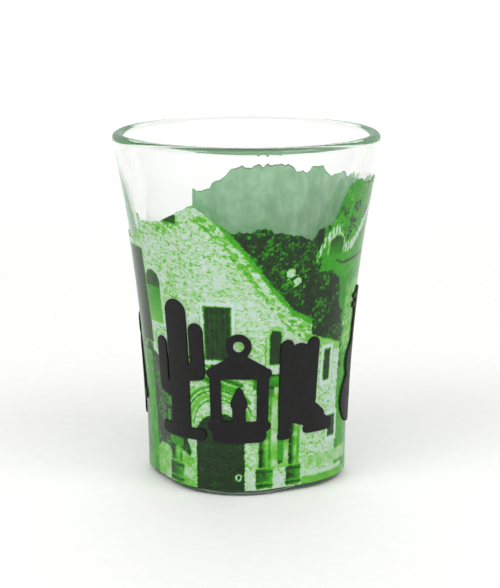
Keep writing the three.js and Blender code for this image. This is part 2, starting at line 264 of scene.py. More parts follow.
class Canvas:
    """The picture as one tone from 0, dark, through 0.5, green, to 1, pale, over the unrolled glass."""

    def __init__(self):
        self.angle = np.arange(FIRST_ANGLE, FIRST_ANGLE + 360, CANVAS_STEP / MM_PER_DEGREE)
        self.height = np.arange(0, CANVAS_TOP, CANVAS_STEP)[:, None]
        self.tone = np.full((len(self.height), len(self.angle)), 0.5)

    def noise(self, cell, seed, stretch=1.0):
        across = (self.angle - FIRST_ANGLE) * MM_PER_DEGREE
        return value_noise(across / stretch, self.height[:, 0], cell, seed)

    def paint(self, cover, tone):
        self.tone += cover * (tone - self.tone)

    def sample(self, degrees, height):
        """Tone at places given as degrees past the canvas's first angle and heights in millimetres."""
        column = degrees * MM_PER_DEGREE / CANVAS_STEP
        row = np.clip(height / CANVAS_STEP, 0, len(self.tone) - 1.01)
        wide = self.tone.shape[1]
        left, low = np.floor(column).astype(int), np.floor(row).astype(int)
        side, rise = column - left, row - low
        left, right = left % wide, (left + 1) % wide
        below = self.tone[low, left] * (1 - side) + self.tone[low, right] * side
        above = self.tone[low + 1, left] * (1 - side) + self.tone[low + 1, right] * side
        return below * (1 - rise) + above * rise

    # Regions, as cover from 0 to 1 that is soft over one canvas step.

    def inside(self, distance):
        return np.minimum(np.maximum(0.5 - distance / CANVAS_STEP, 0), 1)

    def box(self, left, right, bottom, top):
        sideways = (np.abs(self.angle - (left + right) / 2) - (right - left) / 2) * MM_PER_DEGREE
        upright = np.abs(self.height - (bottom + top) / 2) - (top - bottom) / 2
        return np.minimum(self.inside(sideways), self.inside(upright))

    def disc(self, angle, height, radius):
        across = (self.angle - angle) * MM_PER_DEGREE
        return self.inside(np.hypot(across, self.height - height) - radius)

    def arch(self, left, right, bottom, top):
        """A box with a round head."""
        radius = (right - left) / 2 * MM_PER_DEGREE
        head = self.disc((left + right) / 2, top - radius, radius)
        return np.maximum(self.box(left, right, bottom, top - radius), head)

    def under(self, line, drop=0.0):
        """Below a line through (angle, height) points, lowered by drop, within the angles it spans."""
        angles, heights = zip(*line)
        top = np.interp(self.angle, angles, heights) - drop
        ends = np.maximum(angles[0] - self.angle, self.angle - angles[-1]) * MM_PER_DEGREE
        return self.inside(np.maximum(self.height - top, ends))

    def strip(self, line, thickness, drop=0.0):
        """A strip of the given thickness whose top runs along a line lowered by drop."""
        return self.under(line, drop) * (1 - self.under(line, drop + thickness))

    def dabs(self, region, per_square_mm, length, width, tones, slant, seed):
        """Scatters small oval dabs over a region. Length, width, tones and slant are (low, high)."""
        dice = np.random.default_rng(seed)
        reach = int(length[1] / 2 / CANVAS_STEP) + 2
        rows, columns = np.nonzero(region[reach:-reach, reach:-reach] > 0.5)
        count = int(len(rows) * CANVAS_STEP**2 * per_square_mm)
        if count == 0:
            return
        chosen = dice.integers(0, len(rows), count)
        sizes = [dice.uniform(*span, count) for span in (length, width, tones, slant)]
        up, side = np.mgrid[-reach : reach + 1, -reach : reach + 1] * CANVAS_STEP
        for pick, long, wide, tone, turn in zip(chosen, *sizes):
            row, column = rows[pick], columns[pick]
            window = (slice(row, row + 2 * reach + 1), slice(column, column + 2 * reach + 1))
            cos, sin = math.cos(math.radians(turn)), math.sin(math.radians(turn))
            size = np.hypot((side * cos + up * sin) / long, (up * cos - side * sin) / wide) * 2
            cover = np.minimum(np.maximum((1 - size) * wide / CANVAS_STEP, 0), 1) * region[window]
            self.tone[window] += cover * (tone - self.tone[window])

    def roughen(self, reach, cell, seed):
        """Shifts the picture about by up to reach millimetres, so that no drawn edge stays clean."""
        rows, columns = np.indices(self.tone.shape)
        swing = 2 * reach / CANVAS_STEP
        rows = rows + np.rint((self.noise(cell, seed) - 0.5) * swing).astype(int)
        columns = columns + np.rint((self.noise(cell, seed + 1) - 0.5) * swing).astype(int)
        self.tone = self.tone[np.clip(rows, 0, len(self.tone) - 1), columns % self.tone.shape[1]]

    # Finishes for a region.

    def stone(self, region, seed, green=1.0):
        """Pale rubble wall: cloudy ground, green flecks, light stones. green sets how mossy it is."""
        cloud = self.noise(3, seed, 1.6) + self.noise(9, seed + 5, 1.3)
        self.paint(region, 0.96 - 0.1 * cloud * green)
        high = np.clip((self.height - 34) / 14, 0, 1) * green
        mossy = region * (cloud + self.noise(0.8, seed + 6) * 0.7 > 1.5 - 0.3 * green - 0.75 * high)
        self.dabs(region, 4.0 * green, (0.3, 1.1), (0.1, 0.2), (0.58, 0.82), (-28, 5), seed + 1)
        self.dabs(mossy, 4.0, (0.3, 1.1), (0.1, 0.26), (0.5, 0.74), (-32, 5), seed + 2)
        self.dabs(region, 2.0, (0.4, 1.4), (0.16, 0.44), (0.9, 1.0), (-28, 5), seed + 3)
        self.dabs(region, 0.3 * green, (0.3, 0.9), (0.12, 0.22), (0.24, 0.5), (-35, 20), seed + 4)

    def foliage(self, region, seed):
        """Dark mass of leaves with green dabs and thin light stems."""
        clump = self.noise(2.4, seed)
        self.paint(region, 0.05 + 0.2 * clump * self.noise(0.9, seed + 5))
        lit = region * (clump + 0.5 * self.noise(0.9, seed + 6) > 0.62)
        self.dabs(region, 2.2, (0.4, 1.3), (0.12, 0.3), (0.1, 0.36), EVERY_WAY, seed + 1)
        self.dabs(lit, 2.0, (0.4, 1.2), (0.16, 0.45), (0.34, 0.52), (10, 170), seed + 2)
        self.dabs(lit, 2.4, (0.5, 1.4), (0.08, 0.16), (0.42, 0.72), (20, 160), seed + 3)
        self.dabs(region, 1.4, (0.4, 1.4), (0.12, 0.34), (0.0, 0.08), EVERY_WAY, seed + 4)

    def tree(self, region, seed):
        """Sunlit leaves: bright green ground with darker and lighter dabs and a few dark hollows."""
        self.paint(region, 0.42 + 0.1 * self.noise(1.6, seed))
        hollow = region * (self.noise(2, seed + 5) > 0.74)
        self.dabs(region, 3.0, (0.4, 1.0), (0.2, 0.5), (0.35, 0.48), EVERY_WAY, seed + 1)
        self.dabs(region, 3.0, (0.3, 0.8), (0.14, 0.32), (0.46, 0.66), EVERY_WAY, seed + 2)
        self.dabs(hollow, 3.0, (0.4, 0.9), (0.2, 0.5), (0.0, 0.16), EVERY_WAY, seed + 3)

    def pillar(self, left, right, bottom, top):
        """A round pillar on a block: lit down the middle, dark down its left side."""
        place = (self.angle - (left + right) / 2) / (right - left) * 2
        lit = 0.2 * np.exp(-(((place - 0.25) / 0.35) ** 2))
        shaded = 0.42 * np.exp(-(((place + 0.85) / 0.5) ** 2))
        shaft = self.box(left, right, bottom, top)
        self.paint(shaft, 0.48 + lit - shaded + 0.3 * (self.noise(0.9, 71) - 0.5))
        self.dabs(shaft, 1.5, (0.4, 1.1), (0.1, 0.25), (0.45, 0.8), (50, 130), 72)
        plinth = self.box(left - 1.6, right + 1.2, bottom - 0.4, bottom + 3.2)
        self.paint(plinth, 0.36 - 0.14 * np.clip(-place, -1, 1) + 0.2 * (self.noise(0.8, 73) - 0.5))
        for level, tone in ((3.2, 0.7), (2.5, 0.16), (0.5, 0.6), (0, 0.14)):
            self.paint(self.box(left - 2.2, right + 1.6, bottom + level, bottom + level + 0.25), tone)
        self.paint(self.box(left - 1.4, right + 1.4, top - 1.8, top), 0.34 + 0.2 * self.noise(0.7, 74))
        self.paint(self.box(left - 1.4, right + 1.4, top - 0.3, top), 0.1)

    def window(self, left, right, bottom, top, bars):
        """A dark opening in a pale frame, with upright bars and thin rails."""
        self.paint(self.box(left - 2.6, right + 2.6, bottom - 1, top + 0.9), 0.97)
        self.paint(self.box(left - 2.8, left - 2.5, bottom - 1, top + 0.9), 0.66)
        self.paint(self.box(right + 2.5, right + 2.8, bottom - 1, top + 0.9), 0.66)
        self.paint(self.box(left - 0.7, right + 0.7, bottom - 0.2, top + 0.2), 0.48)
        self.paint(self.box(left, right, bottom, top), 0.03 + 0.16 * self.noise(0.7, 53))
        for bar in np.linspace(left, right, bars + 2)[1:-1]:
            self.paint(self.box(bar - 0.22, bar + 0.22, bottom, top) * 0.7, 0.34)
        for rail in np.arange(bottom + 1.4, top, 1.5):
            self.paint(self.box(left, right, rail, rail + 0.12) * 0.6, 0.26)

    def planks(self, region, left, right, count):
        """Dark boards with green seams and cross battens."""
        self.paint(region, 0.05 + 0.07 * self.noise(0.6, 61, 0.3))
        for seam in np.linspace(left, right, count + 1)[1:-1]:
            self.paint(region * self.box(seam - 0.1, seam + 0.1, 0, CANVAS_TOP) * 0.7, 0.2)
        for batten in np.arange(4, CANVAS_TOP, 2.6):
            self.paint(region * self.box(left, right, batten, batten + 0.12) * 0.7, 0.24)


# Lines across the picture, as (angle, height).
ROOF_LINE = [
    (174, 50), (195, 51), (213, 54), (222, 50.9), (231, 47.3), (239, 43.7), (250, 38.4), (262, 33.7),
    (274, 31.6),
]
ROOF_SHADOW = [(196, 49.8), (204, 50.4)]
ROOF_SHADOW_FOOT = [(196, 49), (204, 48.9)]
SIDE_ROOF = [(262, 30.5), (273, 29), (283, 27.7), (297, 26.2)]
CORNICE = [(196, 26.2), (205, 25.2), (219, 23.6), (236, 21.8)]
GATE_LINE = [
    (272, 42.6), (274.5, 44.4), (277, 46), (281, 47.6), (285, 48.3), (288, 46.6), (291, 44.4),
    (298, 44.9), (306, 47.4), (318, 51),
]
LAWN_FOOT = [(270, 43.6), (276, 42.7), (283, 40.6), (289, 38.8), (318, 38.8)]


def paint_chapel(canvas):
    """The stone chapel round the front corner of the foot, and the bushes behind it."""
    canvas.foliage(canvas.box(226, 308, 25, CANVAS_TOP), 100)
    canvas.paint(canvas.disc(259.5, 40.3, 0.8) + canvas.disc(263.5, 38.8, 0.7) * 0.9, 0.9)
    canvas.dabs(canvas.box(258, 266, 37.5, 41), 3, (0.4, 1), (0.2, 0.4), (0.6, 0.95), EVERY_WAY, 101)

    wall = canvas.under(ROOF_LINE)
    canvas.stone(wall, 200, 1.0)
    eaves = canvas.strip(ROOF_LINE, 4.5) * (canvas.noise(1.6, 210) + canvas.noise(0.5, 211) > 0.9)
    canvas.dabs(eaves * wall, 5, (0.5, 1.8), (0.2, 0.45), (0.5, 0.66), (-50, -5), 212)
    coping = canvas.strip(ROOF_LINE, 0.9 + 0.8 * canvas.noise(2, 213))
    canvas.paint(coping * canvas.box(200, 275, 30, CANVAS_TOP), 0.52)
    canvas.paint(canvas.under(ROOF_SHADOW) * (1 - canvas.under(ROOF_SHADOW_FOOT)), 0.22)

    courses = wall * canvas.box(190, 275, 6, 34)
    canvas.dabs(courses, 0.7, (1.2, 4), (0.07, 0.12), (0.55, 0.74), (-9, -3), 214)
    canvas.dabs(courses, 0.3, (0.5, 1.2), (0.07, 0.12), (0.55, 0.74), (84, 90), 215)
    niche = canvas.arch(175.5, 188.5, 30, 39.6)
    fan = 0.5 + 0.5 * np.cos(np.arctan2(canvas.height - 36, (canvas.angle - 182) * MM_PER_DEGREE) * 30)
    canvas.paint(canvas.arch(174.5, 189.7, 29.5, 40.4), 0.9)
    canvas.paint(niche, 0.5 + 0.03 * (34 - canvas.height))
    canvas.paint(niche * canvas.box(174, 190, 36.6, 41), 0.08 + 0.22 * fan)
    canvas.window(216, 229.3, 25, 34.4, 4)
    canvas.paint(canvas.arch(248.5, 257.5, 24, 31), 0.74)
    canvas.paint(canvas.arch(249.8, 256.2, 24, 30.2), 0.12)
    canvas.paint(canvas.box(247.3, 248, 22, 29), 0.55)

    canvas.paint(canvas.strip(CORNICE, 3.4), 0.5)
    grooves = ((0.5, 0.35, 0.92), (1.3, 0.3, 0.2), (1.9, 0.3, 0.8), (2.6, 0.3, 0.25))
    for drop, thickness, tone in grooves:
        canvas.paint(canvas.strip(CORNICE, thickness, drop), tone)
    canvas.paint(canvas.box(218.5, 221.5, 19.5, 24), 0.2)
    mouldings = ((7.4, 0.5, 0.5), (6.5, 0.25, 0.3), (5.9, 0.7, 0.62), (4.9, 0.25, 0.4))
    for radius, thickness, tone in mouldings:
        band = canvas.disc(222, 13, radius) * (1 - canvas.disc(222, 13, radius - thickness))
        canvas.paint(band * canvas.box(204, 240, 13, 22), tone)

    door = canvas.arch(209, 236.5, -1, 15.2)
    canvas.planks(door, 209, 236.5, 6)
    canvas.dabs(door, 0.6, (0.8, 2.6), (0.07, 0.12), (0.28, 0.48), (-6, 2), 225)
    ring = canvas.disc(233, 3.6, 0.62) * (1 - canvas.disc(233, 3.6, 0.36))
    canvas.paint(ring, 0.95)
    canvas.paint(canvas.box(241, 274, 19.6, 22.2), 0.3 + 0.25 * canvas.noise(0.8, 223))
    canvas.paint(canvas.box(241, 274, 21.9, 22.2), 0.08)
    canvas.paint(canvas.box(244, 270, 5, 20), 0.62 + 0.3 * canvas.noise(1.2, 224))
    canvas.paint(canvas.box(255.4, 259.6, 6, 17), 0.48)
    canvas.paint(canvas.box(255.8, 259.2, 5.6, 6.2), 0.2)
    for left, right in ((244.5, 251.5), (263, 270)):
        canvas.pillar(left, right, 1.8, 20)


def paint_side_building(canvas):
    """The low wing to the right of the chapel, with small windows and a step."""
    wing = canvas.under(SIDE_ROOF)
    canvas.stone(wing * canvas.box(274, 300, 0, 30), 300, 0.8)
    canvas.paint(canvas.strip(SIDE_ROOF, 1.4) * canvas.box(274, 298, 20, 30), 0.72)
    canvas.window(284.4, 288.4, 20, 25.4, 0)
    canvas.window(290.6, 295.8, 9.2, 12.9, 2)
    canvas.paint(canvas.box(274, 312, 4, 6.4), 0.66 + 0.2 * canvas.noise(1, 301))
    canvas.paint(canvas.box(272, 312, 0, 2.6), 0.5 + 0.2 * canvas.noise(0.9, 302, 2))
    canvas.paint(canvas.box(276, 306, 2.6, 3.4), 0.9)


def paint_garden(canvas):
    """Trees, a gate and a plain green wall to the right of the chapel."""
    canvas.tree(canvas.box(276, 345, 40, CANVAS_TOP), 410)
    for hollow in ((289, 50.2, 0.7), (298, 50.8, 1.1), (295, 48.6, 0.7), (286, 50.8, 0.5)):
        shade = canvas.disc(*hollow)
        canvas.dabs(shade, 9, (0.3, 0.8), (0.2, 0.4), (0.02, 0.16), EVERY_WAY, 411)
    canvas.paint(canvas.box(308, 318, 44.5, 50), 0.15)

    edge = 287 + 0.95 * (38.3 - canvas.height) + 4 * canvas.noise(1.1, 401)
    wall = canvas.inside((edge - canvas.angle) * MM_PER_DEGREE) * canvas.box(276, 318, 0, 43)
    canvas.paint(wall, 0.46 + 0.1 * (canvas.noise(3, 421) - 0.5))
    lawn = 1 - canvas.under(LAWN_FOOT, 0.9 * canvas.noise(0.9, 423))
    canvas.paint(canvas.under(GATE_LINE) * lawn * canvas.box(270, 318, 36, 51.5), 0.47)
    coping = canvas.strip(GATE_LINE, 1.8)
    dashes = np.cos(2 * math.pi * canvas.angle / 2.2) > -0.2
    canvas.paint(coping * dashes, 0.95)
    rubble = coping * canvas.box(296, 318, 43, 52)
    canvas.dabs(rubble, 6, (0.6, 1.2), (0.3, 0.5), (0.9, 1.0), (20, 60), 420)
    canvas.paint(canvas.arch(279.6, 291, 41.6, 46.6), 0.88)
    canvas.paint(canvas.arch(280.3, 290.3, 41.4, 46.1), 0.22 + 0.06 * (46 - canvas.height))
    canvas.paint(lawn * canvas.box(279, 318, 36, 42.8), 0.46 + 0.06 * canvas.noise(2, 424))
    canvas.paint(canvas.strip([(286, 41.8), (291, 41.1), (298, 41.3), (318, 42)], 0.4), 0.14)
    canvas.dabs(canvas.box(298, 318, 24, 37), 4.5, (0.8, 2.4), (0.12, 0.25), (0.6, 0.9), (25, 65), 422)
    crown = canvas.inside(canvas.height - 46.5 + 1.4 * canvas.noise(1, 430))
    canvas.foliage(crown * canvas.box(262, 273, 40, 48), 431)


def paint_left_edge(canvas):
    """Courtyard trees, rough ground, a small pillar and a dark wall to the left of the chapel."""
    edge = 207 - 5 * canvas.noise(2.5, 501)
    trees = canvas.inside((canvas.angle - edge) * MM_PER_DEGREE) * canvas.box(140, 210, 5, 28)
    canvas.foliage(trees * (canvas.height < 26.5 - 3 * canvas.noise(2, 502)), 500)
    canvas.tree(canvas.box(186, 206, 10, 23) * (canvas.noise(2.2, 510) > 0.55), 511)
    canvas.pillar(188.5, 198, 2, 17)
    canvas.paint(canvas.box(150, 176, 43, CANVAS_TOP), 0.62 + 0.3 * canvas.noise(1.5, 512))
    canvas.paint(canvas.box(160, 175, 26, 43), 0.1 + 0.1 * canvas.noise(2, 513))
    canvas.paint(canvas.box(157, 171, 0, 24) * 0.85, 0.44 + 0.16 * canvas.noise(1.2, 514))
    ground = canvas.inside(canvas.height - 5 - 3.4 * canvas.noise(2.4, 517))
    ground = ground * canvas.box(170, 209, 0, 12)
    canvas.paint(ground, 0.58 + 0.3 * canvas.noise(1.8, 515))
    canvas.dabs(ground, 2.5, (0.5, 1.8), (0.1, 0.26), (0.5, 0.9), (-25, 5), 516)
    canvas.pillar(188.5, 198, 1.8, 10)


def paint_arcade(canvas, left, bays, seed):
    """A cloister wall with a row of round arches under a tiled roof."""
    pitch, eaves = 15.5, 27.0
    right = left + bays * pitch
    canvas.stone(canvas.box(left, right, 0, eaves), seed, 0.8)
    canvas.paint(canvas.box(left, right, eaves, eaves + 3.2), 0.42 + 0.1 * canvas.noise(0.8, seed + 20))
    for tile in np.arange(left, right, 1.9):
        canvas.paint(canvas.box(tile, tile + 0.5, eaves, eaves + 3.2), 0.2)
    canvas.paint(canvas.box(left, right, eaves - 0.5, eaves), 0.12)
    for bay in range(bays):
        middle = left + pitch * (bay + 0.5)
        canvas.paint(canvas.arch(middle - 6.2, middle + 6.2, 2.4, 22), 0.74)
        opening = canvas.arch(middle - 5.2, middle + 5.2, 2.4, 21)
        canvas.foliage(opening, seed + 30 + 10 * bay)
        canvas.paint(opening * canvas.box(middle - 6, middle - 3, 0, 24), 0.08)
        canvas.paint(canvas.box(middle + 6.4, middle + 9.1, 12.6, 13.6), 0.6)
    canvas.paint(canvas.box(left, right, 0, 2.4), 0.56 + 0.3 * canvas.noise(1.0, seed + 21, 2))


def paint_tower(canvas, left, right, top, seed):
    """A plain square tower with a louvred window and a small door."""
    canvas.stone(canvas.box(left, right, 0, top), seed, 1.2)
    canvas.paint(canvas.box(left, left + 2.2, 0, top), 0.3)
    canvas.paint(canvas.box(left - 1.5, right + 1.5, top - 1.2, top), 0.5)
    canvas.paint(canvas.box(left - 1.5, right + 1.5, top - 1.5, top - 1.2), 0.12)
    middle = (left + right) / 2
    canvas.window(middle - 3.6, middle + 3.6, top - 11, top - 4.4, 3)
    canvas.planks(canvas.arch(middle - 5, middle + 5, -1, 13.5), middle - 5, middle + 5, 4)


def paint_picture():
    """The whole picture, from the far trees to the chapel in front."""
    canvas = Canvas()
    canvas.tree(canvas.box(80, 460, 0, CANVAS_TOP), 20)
    canvas.foliage(canvas.box(318, 460, 26, CANVAS_TOP) * (canvas.noise(6, 30) > 0.42), 31)
    canvas.foliage(canvas.box(80, 160, 22, CANVAS_TOP) * (canvas.noise(6, 40) > 0.5), 41)
    paint_arcade(canvas, 322, 4, 600)
    paint_tower(canvas, 388, 414, 46, 700)
    paint_arcade(canvas, 92, 3, 800)
    paint_chapel(canvas)
    paint_left_edge(canvas)
    paint_garden(canvas)
    paint_side_building(canvas)
    canvas.roughen(0.12, 0.35, 900)
    return canvas


# ---- Layers of the print ----

PICTURE_COLUMNS = 960
PICTURE_ROWS = 300
BACKING_COLUMNS = 480
BACKING_ROWS = 60
BACKING_LEDGE = 0.2

# Unevenness of the print's top edge: (cell in millimetres, swing in millimetres, seed). The chapel's
# roof, between two angles past the canvas's first one, keeps only a part of it.
RAGGEDNESS = [(2.3, 0.9, 11), (0.9, 0.7, 12), (0.4, 0.4, 13)]
CALM_SPAN = (82, 141)
CALM_SHARE = 0.2


def canvas_degrees(angles):
    """Degrees past the canvas's first angle."""
    return (np.degrees(angles) - PRINT_TURN - FIRST_ANGLE) % 360


def ragged_skyline(angles):
    """Top edge of the print: calm along the chapel's roof, leafy elsewhere."""
    degrees = canvas_degrees(angles)
    edge = np.interp(FIRST_ANGLE + degrees, *zip(*SKYLINE))
    leafy = np.where((degrees > CALM_SPAN[0]) & (degrees < CALM_SPAN[1]), CALM_SHARE, 1.0)
    for cell, swing, seed in RAGGEDNESS:
        bite = value_noise(degrees * MM_PER_DEGREE, np.zeros(1), cell, seed)[0] - 0.5
        edge = edge + leafy * swing * bite
    return edge


def make_backing(material):
    """The ink layer on the glass, which ends a ledge below the picture's edge."""
    angles = np.linspace(0, 2 * math.pi, BACKING_COLUMNS, endpoint=False)
    top_edge = ragged_skyline(angles) - BACKING_LEDGE
    backing = make_wrap(
        "backing_wrap", BACKING_FACES, top_edge, angles, BACKING_ROWS, material
    )
    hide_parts("print_backing")


def make_picture(canvas, material):
    """The picture's ink layer. Each vertex carries the tone of the painted canvas at its place."""
    angles = np.linspace(0, 2 * math.pi, PICTURE_COLUMNS, endpoint=False)
    top_edge = ragged_skyline(angles)
    picture = make_wrap(
        "picture_wrap", PICTURE_FACES, top_edge, angles, PICTURE_ROWS, material
    )
    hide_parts("print_picture")
    rises = np.concatenate([np.linspace(0, 1, PICTURE_ROWS), np.linspace(1, 0, INNER_ROWS)])
    heights = PRINT_BOTTOM + (top_edge[None, :] - PRINT_BOTTOM) * rises[:, None]
    tone = canvas.sample(canvas_degrees(np.broadcast_to(angles, heights.shape)), heights)
    attribute = picture.data.attributes.new("tone", "FLOAT", "POINT")
    attribute.data.foreach_set("value", tone.ravel())


# ---- Raised rubber motifs ----

VOXEL = 0.11
SOFTEN_STEPS = 6
BEND_STEPS = 6
STROKE_END_POINTS = 24
ARC_STROKES = 16
RING_STROKES = 24


def stroke(x1, y1, x2, y2, radius1, radius2=None):
    """A thick line between two places, in millimetres, that may taper."""
    return x1, y1, x2, y2, radius1, radius1 if radius2 is None else radius2


def arc(x, y, radius, start, end, radius1, radius2=None, count=ARC_STROKES):
    """Strokes end to end along an arc, tapering evenly."""
    last = radius1 if radius2 is None else radius2
    turns = np.radians(np.linspace(start, end, count + 1))
    widths = np.linspace(radius1, last, count + 1)
    places = [(x + radius * math.cos(turn), y + radius * math.sin(turn)) for turn in turns]
    return [
        (*here, *after, width, next_width)
        for here, after, width, next_width in zip(places, places[1:], widths, widths[1:])
    ]


def mirrored(strokes):
    """The strokes and their mirror images, left for right."""
    return strokes + [(-x1, y1, -x2, y2, r1, r2) for x1, y1, x2, y2, r1, r2 in strokes]


def ring(x, y, radius, half_width):
    """Strokes end to end round a full circle."""
    return arc(x, y, radius, 0, 360, half_width, half_width, RING_STROKES)


def rays(x, y, count, inner, outer, radius1, radius2):
    """Strokes pointing out from one point, one of them straight up."""
    turns = [(step / count + 0.25) * 2 * math.pi for step in range(count)]
    ways = [(math.cos(turn), math.sin(turn)) for turn in turns]
    return [
        (x + inner * cos, y + inner * sin, x + outer * cos, y + outer * sin, radius1, radius2)
        for cos, sin in ways
    ]


# Strokes of each motif, from the middle of its foot on the base line.
MOTIFS = {
    "cactus": [
        stroke(0, 2.1, 0, 21.1, 2.1, 2.2),
        stroke(-4, 1, 4, 1, 1),
        stroke(0, 7.6, -3.8, 8.2, 1.3),
        stroke(-3.8, 8.2, -3.8, 15.2, 1.3),
        stroke(0, 10.8, 3.8, 11.4, 1.3),
        stroke(3.8, 11.4, 3.8, 18.4, 1.3),
    ],
    "lantern": [
        *ring(0, 16.2, 1.5, 0.6),
        stroke(0, 12.6, 0, 14.4, 1.2, 0.8),
        *mirrored([
            stroke(0, 14.2, 3.6, 12, 1),
            stroke(0, 11.6, 4.4, 11.6, 0.9),
            stroke(3.9, 11.6, 3.7, 3.4, 0.95),
            stroke(0, 2.7, 4.2, 2.7, 0.9),
            stroke(0, 1.2, 3.2, 1.2, 1.2),
        ]),
        stroke(0, 3.2, 0, 5.4, 1.1),
        stroke(0, 6.6, 0, 9, 1.4, 0.4),
    ],
    "boot": [
        stroke(-2.7, 15.8, -2.1, 6, 1.2, 1.7),
        stroke(-0.3, 14.2, -0.4, 6, 2, 2.4),
        stroke(2.2, 15.8, 1.2, 6.4, 1.2, 2),
        stroke(-0.7, 5.4, 3.4, 3.1, 2.7, 1.8),
        stroke(2.8, 2.5, 6, 1.8, 1.7, 0.9),
        stroke(1.6, 1.3, 6.3, 1.2, 0.7, 0.6),
        stroke(-2.2, 4.8, -2.6, 1.6, 1.5, 1),
        stroke(-3.1, 0.7, -2, 0.7, 0.7),
    ],
    "guitar": [
        *ring(0, 4.7, 2.8, 1.9),
        *ring(0, 10.8, 1.7, 1.7),
        stroke(0, 12, 0, 20, 1.1, 0.9),
        stroke(0, 20, 0, 21.8, 1.2, 1.5),
        *mirrored([stroke(0, 20.4, 2.3, 20.4, 0.45), stroke(0, 22, 2.5, 22, 0.45)]),
    ],
    "chili": [
        *arc(-6.4, 7.9, 7.6, 44, -56, 2.5, 0.5),
        stroke(-2.4, 14.7, 0.8, 15, 1),
        stroke(-0.8, 15.2, 0.6, 18, 0.8, 0.6),
    ],
    "sprig": [
        stroke(0, 0.9, 0, 15.8, 0.9, 0.6),
        *mirrored([
            stroke(1, 2.8, 3.9, 5.8, 1.6, 0.4),
            stroke(1, 7.2, 3.4, 10.2, 1.4, 0.4),
            stroke(1, 11.4, 2.9, 14.4, 1.2, 0.4),
        ]),
    ],
    "sunflower": [
        *ring(0, 12.8, 1.3, 1.2),
        *rays(0, 12.8, 9, 2.2, 4, 1, 0.6),
        stroke(0, 9.6, 0, 1, 0.9),
        *mirrored([stroke(0, 2.4, 3.7, 5.6, 1.4, 0.4)]),
    ],
    "key": [
        *ring(0, 13.8, 2.5, 1.2),
        stroke(-1.7, 10, 1.7, 10, 0.9),
        stroke(0, 11.4, 0, 1.1, 1.1),
        stroke(0, 1.5, 3.2, 1.5, 1),
        stroke(0, 5, 2.7, 5, 1),
    ],
    "weathervane": [
        *rays(0, 12.8, 5, 0, 4.2, 2.1, 0.4),
        stroke(0, 10, 0, 1, 0.9),
        stroke(-3.2, 6, 3.2, 6, 0.75),
        *mirrored([stroke(3.5, 6, 2.4, 7.1, 0.6), stroke(3.5, 6, 2.4, 4.9, 0.6)]),
        stroke(-3.2, 1, 3.2, 1, 1),
    ],
    "bell": [
        *ring(0, 15.7, 1.4, 0.6),
        stroke(0, 12.7, 0, 11.4, 1.7, 2.7),
        stroke(0, 11.4, 0, 6.6, 2.7, 3.7),
        stroke(-3.7, 4.6, 3.7, 4.6, 1.1),
        stroke(0, 4, 0, 1.5, 0.7, 1.5),
    ],
}
FRONT_MOTIFS = ("cactus", "lantern", "boot")
BACK_MOTIFS = ("guitar", "chili", "sprig", "sunflower", "key", "weathervane", "bell")


def stroke_outline(x1, y1, x2, y2, radius1, radius2):
    """Outline of a tapered stroke: two round ends and the two lines that touch both."""
    direction = math.atan2(y2 - y1, x2 - x1)
    spread = math.acos((radius1 - radius2) / math.hypot(x2 - x1, y2 - y1))
    head = direction + np.linspace(-spread, spread, STROKE_END_POINTS)
    foot = direction + np.linspace(spread, 2 * math.pi - spread, STROKE_END_POINTS)
    ends = [(x2 + radius2 * np.cos(head), y2 + radius2 * np.sin(head))]
    ends.append((x1 + radius1 * np.cos(foot), y1 + radius1 * np.sin(foot)))
    return np.concatenate([np.stack(end, -1) for end in ends])


def rounded_slab(strokes):
    """One closed slab, in millimetres, from overlapping strokes, with its edges softened."""
    points, faces = [], []
    low, high = RELIEF_FACES
    for one in strokes:
        outline = stroke_outline(*one) * RELIEF_SCALE
        count, first = len(outline), len(points)
        points += [(x, y, low) for x, y in outline] + [(x, y, high) for x, y in outline]
        faces.append([first + step for step in reversed(range(count))])
        faces.append([first + count + step for step in range(count)])
        for step in range(count):
            after = (step + 1) % count
            faces.append([first + step, first + after, first + count + after, first + count + step])
    mesh = bpy.data.meshes.new("slab")
    mesh.from_pydata(points, [], faces)
    slab = bpy.data.objects.new("slab", mesh)
    bpy.context.scene.collection.objects.link(slab)
    join = slab.modifiers.new("join", "REMESH")
    join.mode = "VOXEL"
    join.voxel_size = VOXEL
    soften = slab.modifiers.new("soften", "SMOOTH")
    soften.factor = 0.5
    soften.iterations = SOFTEN_STEPS
    shaped = slab.evaluated_get(bpy.context.evaluated_depsgraph_get()).to_mesh()
    coordinates = np.empty(len(shaped.vertices) * 3)
    shaped.vertices.foreach_get("co", coordinates)
    quads = [list(face.vertices) for face in shaped.polygons]
    bpy.data.objects.remove(slab)
    bpy.data.meshes.remove(mesh)
    return coordinates.reshape(-1, 3), quads


def make_relief(name, centre, material):
    """Bends a flat motif round the glass, in steps because the radius varies with the angle."""
    flat, faces = rounded_slab(MOTIFS[name])
    across, up, out = flat.T
    height = RELIEF_BASE + up
    middle = math.radians(PRINT_TURN + centre)
    angle = np.full_like(across, middle)
    for _ in range(BEND_STEPS):
        radius = outline_radius(angle, height) + out
        angle = middle + np.arcsin(across / radius)
    points = polar_points(outline_radius(angle, height) + out, height, angle)
    relief = new_piece(f"rubber_{name}", points, faces, material)
    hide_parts(f"relief_{name}")


# ---- Materials ----

